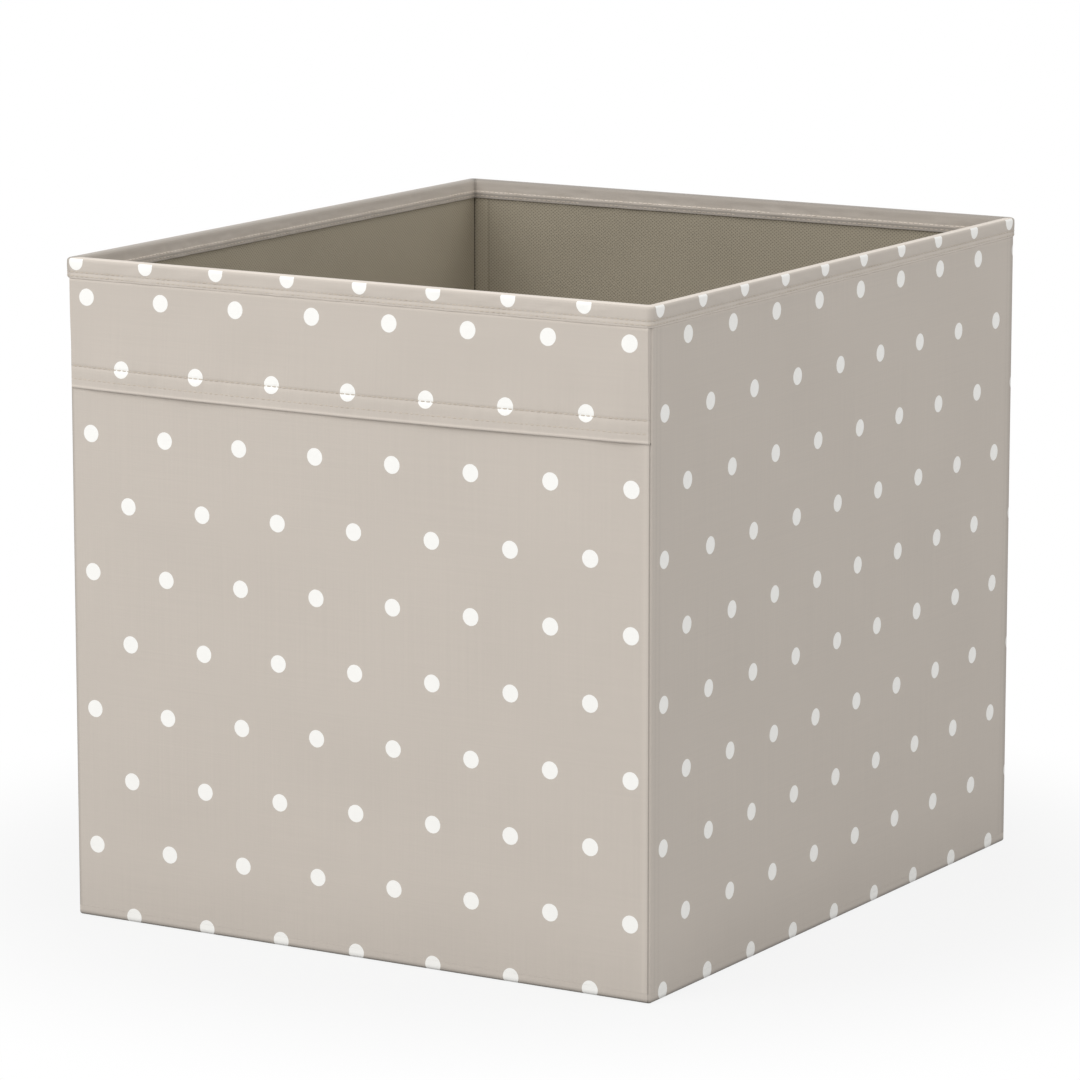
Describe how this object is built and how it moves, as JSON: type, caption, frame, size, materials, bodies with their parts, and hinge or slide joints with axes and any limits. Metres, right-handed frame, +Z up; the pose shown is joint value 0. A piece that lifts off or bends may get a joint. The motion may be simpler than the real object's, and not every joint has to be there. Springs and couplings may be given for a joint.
{
  "type": "foldable storage box",
  "caption": "Open-topped foldable storage box of printed cloth over boards, with a bound rim, a full-width pull flap, creased front and rear walls and a lift-up base.",
  "frame": {"origin": "centre of the footprint, on the floor", "axes": "+Z up, the front with the pull flap towards -Y, +X to the right as seen from the front"},
  "size_m": [0.33, 0.38, 0.33],
  "materials": {
    "print": "matte",
    "binding": "matte",
    "lining": "matte",
    "base_cloth": "matte",
    "board": "matte"
  },
  "bodies": {
    "left_wall": {"left_cover": "print", "left_board": "board", "left_lining": "lining", "left_rim_binding": "binding", "base_hinge_tape": "lining", "bottom_panel": "print"},
    "front_left_half": {"front_left_cover": "print", "front_left_board": "board", "front_left_lining": "lining", "front_left_rim_binding": "binding", "pull_flap_left": "print"},
    "front_right_half": {"front_right_cover": "print", "front_right_board": "board", "front_right_lining": "lining", "front_right_rim_binding": "binding", "pull_flap_right": "print"},
    "right_wall": {"right_cover": "print", "right_board": "board", "right_lining": "lining", "right_rim_binding": "binding"},
    "rear_left_half": {"rear_left_cover": "print", "rear_left_board": "board", "rear_left_lining": "lining", "rear_left_rim_binding": "binding"},
    "rear_right_half": {"rear_right_cover": "print", "rear_right_board": "board", "rear_right_lining": "lining", "rear_right_rim_binding": "binding"},
    "base": {"base_board": "board", "base_sleeve": "base_cloth"}
  },
  "joints": [
    {"name": "front_left_fold", "type": "hinge", "parent": "left_wall", "child": "front_left_half", "pos_m": [-0.1597, -0.1762, 0.165], "axis": [0, 0, 1], "range_deg": [0, 90], "deforming": ["bottom_panel"]},
    {"name": "front_crease_fold", "type": "hinge", "parent": "front_left_half", "child": "front_right_half", "pos_m": [0, -0.1903, 0.165], "axis": [0, 0, 1], "range_deg": [-180, 0]},
    {"name": "front_right_fold", "type": "hinge", "parent": "front_right_half", "child": "right_wall", "pos_m": [0.1597, -0.1762, 0.165], "axis": [0, 0, 1], "range_deg": [0, 90]},
    {"name": "rear_left_fold", "type": "hinge", "parent": "left_wall", "child": "rear_left_half", "pos_m": [-0.1597, 0.1762, 0.165], "axis": [0, 0, 1], "range_deg": [-90, 0]},
    {"name": "rear_right_fold", "type": "hinge", "parent": "right_wall", "child": "rear_right_half", "pos_m": [0.1597, 0.1762, 0.165], "axis": [0, 0, 1], "range_deg": [0, 90]},
    {"name": "base_lift", "type": "hinge", "parent": "left_wall", "child": "base", "pos_m": [-0.159, 0.0015, 0.0048], "axis": [0, -1, 0], "range_deg": [0, 90]}
  ],
  "couplings": [
    {"joint": "front_crease_fold", "follows": "front_left_fold", "ratio": -2},
    {"joint": "front_right_fold", "follows": "front_left_fold", "ratio": 1},
    {"joint": "rear_left_fold", "follows": "front_left_fold", "ratio": -1},
    {"joint": "rear_right_fold", "follows": "front_left_fold", "ratio": 1}
  ]
}
